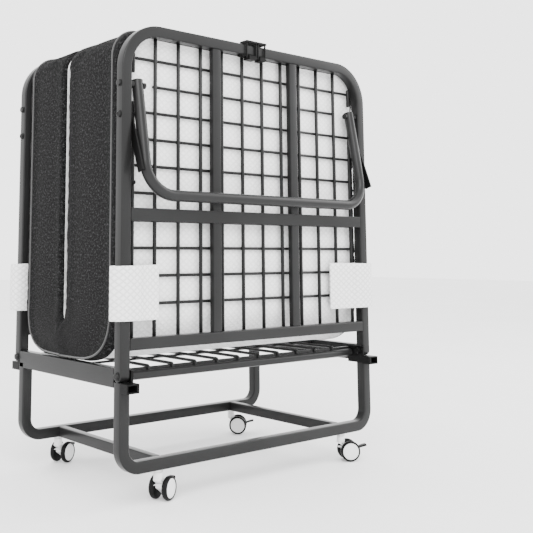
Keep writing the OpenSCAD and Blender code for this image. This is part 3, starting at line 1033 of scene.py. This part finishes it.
def strap(side, hand, inner_end, bulge):
    """A quilted stretch band round one upright of an arch."""
    half = dict(HALVES)[side]
    line = strap_line(inner_end, bulge)
    run = running_lengths(line)
    levels = spread(STRAP_LOW, STRAP_HIGH, 46)
    verts = []
    uvs = []
    for layer in (1, -1):
        for i, point in enumerate(line):
            ahead = line[min(i + 1, len(line) - 1)] - line[max(i - 1, 0)]
            normal = Vector((ahead.y, -ahead.x, 0.0)).normalized()
            for z in levels:
                place = point + normal * strap_depth(run[i], z) * layer
                verts.append((hand * place.x, -side * place.y, z + strap_drop(i / len(line), z)))
                uvs.append((run[i], z))
    faces = band_faces(len(line), len(levels))
    if hand * side > 0:
        faces = [tuple(reversed(f)) for f in faces]
    shape = Shape()
    shape.add(verts, faces)
    node = "%s_strap_%s" % (half, dict(HANDS)[hand])
    obj = shape.build(node + "_band", [STRAP_CLOTH], 60.0)
    uv = obj.data.uv_layers.new(name="UVMap")
    for loop in obj.data.loops:
        uv.data[loop.index].uv = uvs[loop.vertex_index]
    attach(obj, half + "_half")
    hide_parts(node)


strap(-1, -1, 0.289, (0.004, 0.0))
strap(-1, 1, 0.262, (0.008, 0.0))
strap(1, -1, 0.302, (0.002, 0.013))
strap(1, 1, 0.302, (0.006, 0.006))


# ---------------------------------------------------------------- castors

CASTOR_X = 0.288
TRAIL = 0.020
WHEEL_R = 0.025
HOOD_R = 0.0188
CASTORS = {
    "fl": (-CASTOR_X, FRONT_LEG_Y, 24),
    "fr": (CASTOR_X, FRONT_LEG_Y, 328),
    "bl": (-CASTOR_X, BACK_LEG_Y, 25),
    "br": (CASTOR_X, BACK_LEG_Y, 315),
}
TREAD = [(0.006, 0.0088), (0.0195, 0.0088), (0.0222, 0.0094), (0.0241, 0.0110), (0.0249, 0.0132),
         (0.0250, 0.0160), (0.0248, 0.0186), (0.0240, 0.0205), (0.0226, 0.0219), (0.0212, 0.0223),
         (0.0206, 0.0216), (0.0204, 0.0205), (0.006, 0.0205)]
HUB_DISC = [(0.0203, 0.0190), (0.0203, 0.0200), (0.0197, 0.0210), (0.0178, 0.0216), (0.0125, 0.0223),
            (0.006, 0.0226), (0.0, 0.0227)]
HOOD_WIDTHS = [(-0.0078, 0.90), (-0.0070, 0.965), (-0.0052, 1.0), (0.0052, 1.0), (0.0070, 0.965),
               (0.0078, 0.90)]
HOOD_BACK = [(-0.0085, 0.034), (-0.0095, 0.045), (-0.0090, 0.0495), (0.0005, 0.0515)]
HOOD_CENTRE = (0.012, 0.032)
COLLAR = [(0.0085, 0.044), (0.0098, 0.0475), (0.0098, 0.0575), (0.0090, 0.0600), (0.0056, 0.0602)]
PEDAL_SPINE = [(0.000, 0.000), (0.010, 0.0008), (0.0150, 0.0045), (0.0220, 0.0068), (0.0300, 0.0088),
               (0.0330, 0.0096)]
PEDAL_HALF_WIDTHS = [0.0028, 0.0028, 0.0070, 0.0088, 0.0086, 0.0066]


class Castor:
    """One swivel castor: its stem's foot, the way it trails and the way its axle runs."""

    def __init__(self, tag, x, y, heading):
        turn = math.radians(heading)
        self.tag = tag
        self.ahead = Vector((math.cos(turn), math.sin(turn), 0.0))
        self.across = Vector((-math.sin(turn), math.cos(turn), 0.0))
        self.stem = Vector((x, y, 0.0))

    def at(self, out, rise):
        """A point in the castor's middle plane."""
        return self.stem + self.ahead * out + Vector((0, 0, rise))

    def finish(self, shape, name, materials, part, body):
        obj = shape.build("castor_%s_%s" % (self.tag, name), materials)
        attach(obj, "caster_" + self.tag + body)
        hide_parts("caster_%s_%s" % (self.tag, part))

    def wheel_pair(self):
        """Two tyres with white hub discs on one axle."""
        shape = Shape()
        axle = self.at(TRAIL, WHEEL_R)
        lathe(shape, [(0.0028, -0.0115), (0.0028, 0.0115)], axle, self.across, 24)
        for s in (-1, 1):
            lathe(shape, TREAD, axle, self.across * s, 56, 0)
            lathe(shape, HUB_DISC, axle, self.across * s, 56, 1)
        self.finish(shape, "wheel_pair", [TYRE_BLACK, HUB_WHITE], "wheels", "_wheels")

    def hood(self):
        """White cover between the wheels, rising to a collar round the stem."""
        outline = []
        for k in range(25):
            t = math.radians(-60 + 235 * k / 24)
            outline.append((TRAIL + HOOD_R * math.cos(t), WHEEL_R + HOOD_R * math.sin(t)))
        outline += HOOD_BACK
        cx, cz = HOOD_CENTRE
        outline.sort(key=lambda p: math.atan2(p[1] - cz, p[0] - cx))
        verts = []
        for w, grow in HOOD_WIDTHS:
            for px, pz in outline:
                verts.append(self.at(cx + (px - cx) * grow, cz + (pz - cz) * grow) + self.across * w)
        n = len(outline)
        last = len(HOOD_WIDTHS) - 1
        faces = []
        for i in range(last):
            for k in range(n):
                m = (k + 1) % n
                faces.append((i * n + k, (i + 1) * n + k, (i + 1) * n + m, i * n + m))
        faces.append(tuple(range(n)))
        faces.append(tuple(reversed(range(last * n, (last + 1) * n))))
        shape = Shape()
        shape.add(verts, faces)
        lathe(shape, COLLAR, self.stem, UPWARD, 36)
        self.finish(shape, "hood", [HUB_WHITE], "body", "")

    def pedal(self):
        """Brake lever that rises away from the wheels and widens into a foot pad."""
        spine = smooth_curve([(*p, 0.0) for p in PEDAL_SPINE], 4)
        path = [self.at(TRAIL + 0.012 + p.x, 0.028 + p.y) for p in spine]
        widest = max(PEDAL_HALF_WIDTHS)
        parts = len(PEDAL_HALF_WIDTHS) - 1
        scales = []
        for i in range(len(path)):
            t = i / (len(path) - 1) * parts
            k = min(int(t), parts - 1)
            here, ahead = PEDAL_HALF_WIDTHS[k:k + 2]
            scales.append((1.0, (here + (ahead - here) * (t - k)) / widest))
        shape = Shape()
        sweep(shape, path, square_profile(0.0042, 2 * widest, 0.0018, 4), self.across, scales)
        self.finish(shape, "pedal", [PEDAL_BLACK], "brake", "_brake")


for tag, (x, y, heading) in CASTORS.items():
    castor = Castor(tag, x, y, heading)
    castor.wheel_pair()
    castor.hood()
    castor.pedal()


# ---------------------------------------------------------------- bolt heads

def cap_head(shape, place, axis, radius=0.0072):
    """A domed bolt head on a thin washer, with a shallow recess."""
    outline = [(radius * 1.15, -0.0004), (radius * 1.15, 0.0006), (radius, 0.0010), (radius * 0.98, 0.0022),
               (radius * 0.85, 0.0036), (radius * 0.62, 0.0046), (radius * 0.46, 0.0049),
               (radius * 0.44, 0.0030), (0.0, 0.0026)]
    lathe(shape, outline, place, axis, 32)


for side, name in HALVES:
    heads = Shape()
    for s in (-1, 1):
        for z in (LEG_PIVOT_Z, BRACE_Z):
            cap_head(heads, (s * (HALF_W + 0.0003), side * PIVOT_Y, z), (s, 0, 0))
    put(heads, name + "_bolt_heads", BOLT_STEEL, name + "_half", ())
pivots = Shape()
for sx in (-1, 1):
    for sy in (-1, 1):
        cap_head(pivots, (sx * (HALF_W + 0.0008), sy * PIVOT_Y, PIVOT_Z), (sx, 0, 0), 0.0080)
put(pivots, "pivot_bolt_heads", BOLT_STEEL, "base", ())


# ---------------------------------------------------------------- stage

def add_floor():
    mesh = bpy.data.meshes.new("floor")
    reach = 14.0
    corners = [(-reach, -reach, 0), (reach, -reach, 0), (reach, reach, 0), (-reach, reach, 0)]
    mesh.from_pydata(corners, [], [(0, 1, 2, 3)])
    look = Look("pale_floor", 0.55, 0.0, 0.3)
    place = look.coords((1.0, 1.0, 1.0))
    look.colour(look.ramp(look.noise(place, 1.5, 2.0), [(0.3, grey(0.84)), (0.7, grey(0.87))]))
    mesh.materials.append(look.material)
    floor = bpy.data.objects.new("floor", mesh)
    bpy.context.scene.collection.objects.link(floor)


add_camera()
add_world()
area_light("key", (-2.2, -3.2, 3.6), (0, 0, 0.5), (3.0, 3.0), 260)
area_light("right_fill", (3.6, -1.6, 2.6), (0, 0, 0.5), (2.5, 2.5), 90)
add_floor()
